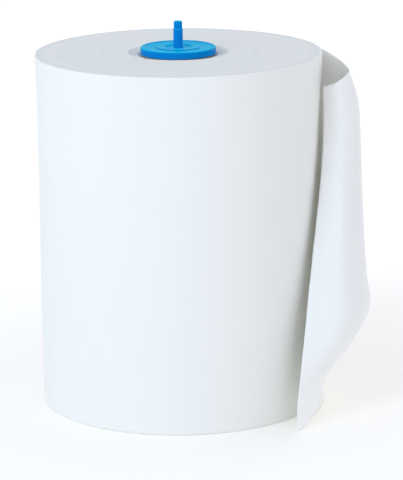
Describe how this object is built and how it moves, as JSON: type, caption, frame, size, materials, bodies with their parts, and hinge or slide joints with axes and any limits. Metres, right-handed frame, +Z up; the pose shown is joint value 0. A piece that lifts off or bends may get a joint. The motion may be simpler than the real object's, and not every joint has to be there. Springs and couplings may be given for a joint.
{
  "type": "paper towel roll",
  "caption": "White hard wound paper hand towel roll on end, with a loose tail of web, a card core and a blue plug with a pin for a wall dispenser.",
  "frame": {"origin": "middle of the core's open lower end, in the plane the roll stands on", "axes": "+Z up the roll's axis towards the plug's pin; the loose tail leaves on the +X side and comes forward to -Y"},
  "size_m": [0.1969, 0.1696, 0.2283],
  "materials": {
    "towel_paper": "matt soft creped paper",
    "core_card": "matt grey-brown wound card",
    "plug_plastic": "satin moulded polypropylene"
  },
  "bodies": {
    "root": {"paper_roll": "towel_paper", "core_tube": "core_card", "core_plug": "plug_plastic"}
  },
  "joints": []
}
